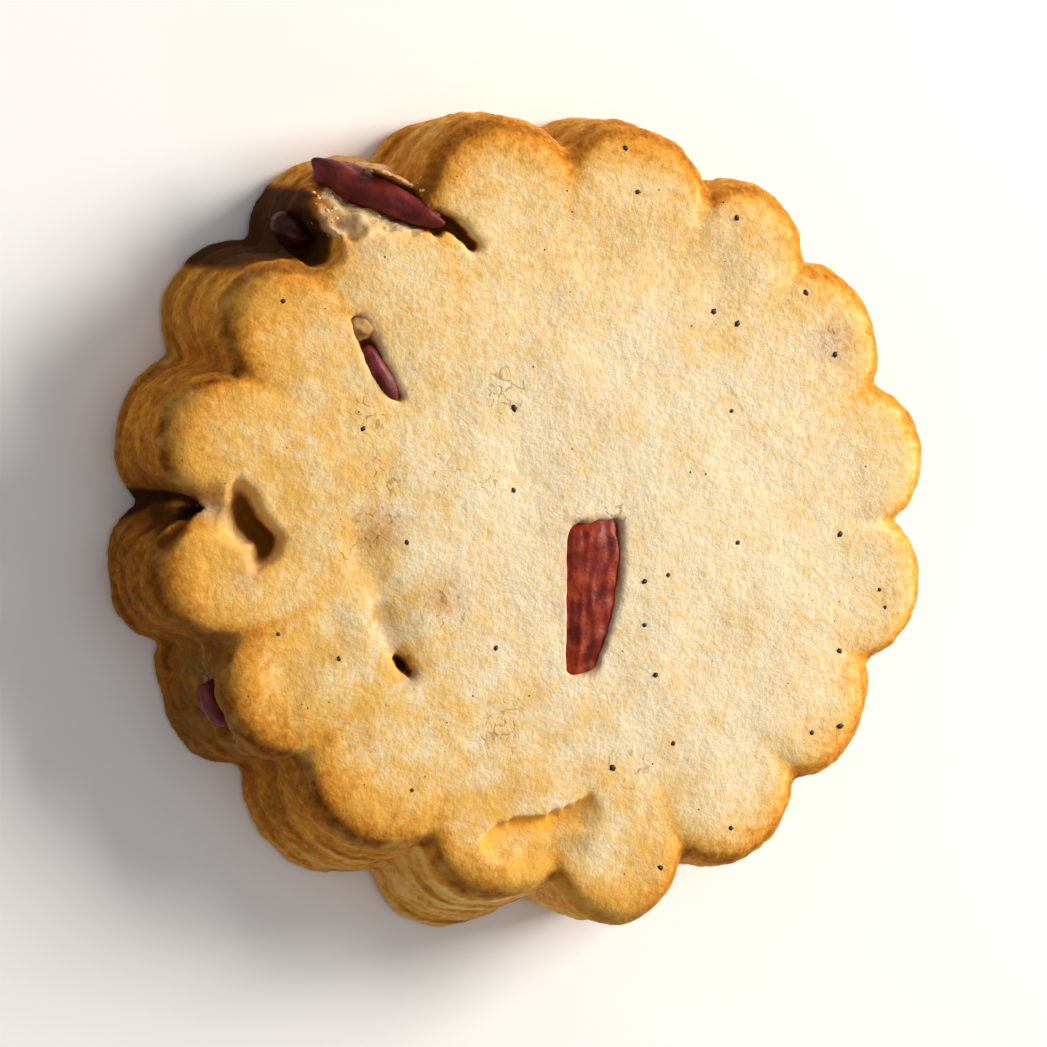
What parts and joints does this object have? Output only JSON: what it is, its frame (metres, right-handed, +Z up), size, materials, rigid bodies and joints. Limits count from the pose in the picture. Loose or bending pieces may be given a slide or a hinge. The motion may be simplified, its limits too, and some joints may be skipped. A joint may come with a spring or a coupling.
{
  "type": "shortbread biscuit",
  "caption": "Thick round shortbread biscuit with a fluted edge, dried cranberry pieces baked in, a crumbled lobe and a small sunken hollow.",
  "frame": {"origin": "middle of the flat underside, at the bottom centre of the bounding box", "axes": "+Z up through the biscuit's thickness; -X towards the sunken hollow in the edge; +Y towards the side of the crumbled lobe; -Y towards the cracked edge"},
  "size_m": [0.0661, 0.0657, 0.0124],
  "materials": {
    "dough": "pale baked shortbread, dry and sandy, golden at the rim and brown down the side",
    "cranberry": "dried cranberry, dark red brown, wrinkled with a slight sheen"
  },
  "bodies": {
    "root": {"biscuit": "dough", "cranberry_centre": "cranberry", "cranberry_rim": "cranberry", "cranberry_sliver": "cranberry", "cranberry_pit": "cranberry", "cranberry_side": "cranberry"}
  },
  "joints": []
}
